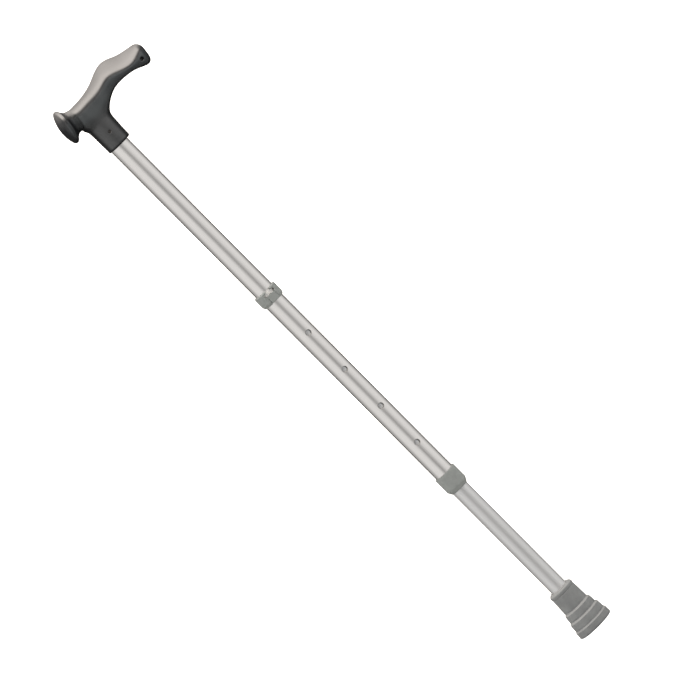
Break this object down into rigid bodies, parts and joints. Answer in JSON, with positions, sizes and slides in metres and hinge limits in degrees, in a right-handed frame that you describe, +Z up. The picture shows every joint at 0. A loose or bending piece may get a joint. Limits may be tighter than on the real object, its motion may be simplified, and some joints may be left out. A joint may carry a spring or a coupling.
{
  "type": "walking stick",
  "caption": "Straight height-adjustable aluminium walking stick with an anatomic handle, telescopic tube, locking clip, locking nut and stepped rubber ferrule.",
  "frame": {"origin": "centre of the ferrule's ground face, on the axis of the tubes", "axes": "+Z up along the tubes, +X towards the handle's nose, -Y is the side with the setting holes and the thumb pad"},
  "size_m": [0.1194, 0.0416, 0.7577],
  "materials": {
    "handle": "satin, moulded",
    "handle_pin": "satin",
    "outer_tube": "anodised, satin",
    "thread_sleeve": "moulded",
    "inner_tube": "anodised, satin",
    "button_spring": "spring steel",
    "snap_button": "plated",
    "thumb_pad": "moulded",
    "lock_clip": "moulded",
    "wedge_ring": "moulded",
    "lock_nut": "moulded",
    "ferrule": "matte",
    "ferrule_washer": "zinc plated"
  },
  "bodies": {
    "upper": {"handle": "handle", "handle_pin": "handle_pin", "outer_tube": "outer_tube", "thread_sleeve": "thread_sleeve"},
    "lower": {"inner_tube": "inner_tube", "button_spring": "button_spring", "ferrule": "ferrule", "ferrule_washer": "ferrule_washer", "lock_clip": "lock_clip"},
    "button": {"snap_button": "snap_button", "thumb_pad": "thumb_pad"},
    "wedge": {"wedge_ring": "wedge_ring"},
    "nut": {"lock_nut": "lock_nut"}
  },
  "joints": [
    {"name": "height_slide", "type": "slide", "parent": "lower", "child": "upper", "axis": [0, 0, 1], "range_m": [0, 0.2088], "deforming": ["snap_button", "button_spring"]},
    {"name": "button_press", "type": "slide", "parent": "lower", "child": "button", "axis": [0, 1, 0], "range_m": [0, 0.0018], "stiffness_N_per_m": 200, "deforming": ["button_spring"]},
    {"name": "nut_turn", "type": "hinge", "parent": "wedge", "child": "nut", "pos_m": [0, 0, 0.2], "axis": [0, 0, -1], "range_deg": [0, 270]},
    {"name": "nut_feed", "type": "slide", "parent": "upper", "child": "wedge", "axis": [0, 0, -1], "range_m": [0, 0.0016]}
  ],
  "couplings": [
    {"joint": "nut_feed", "follows": "nut_turn", "m_per_rad": 0.00031831}
  ]
}
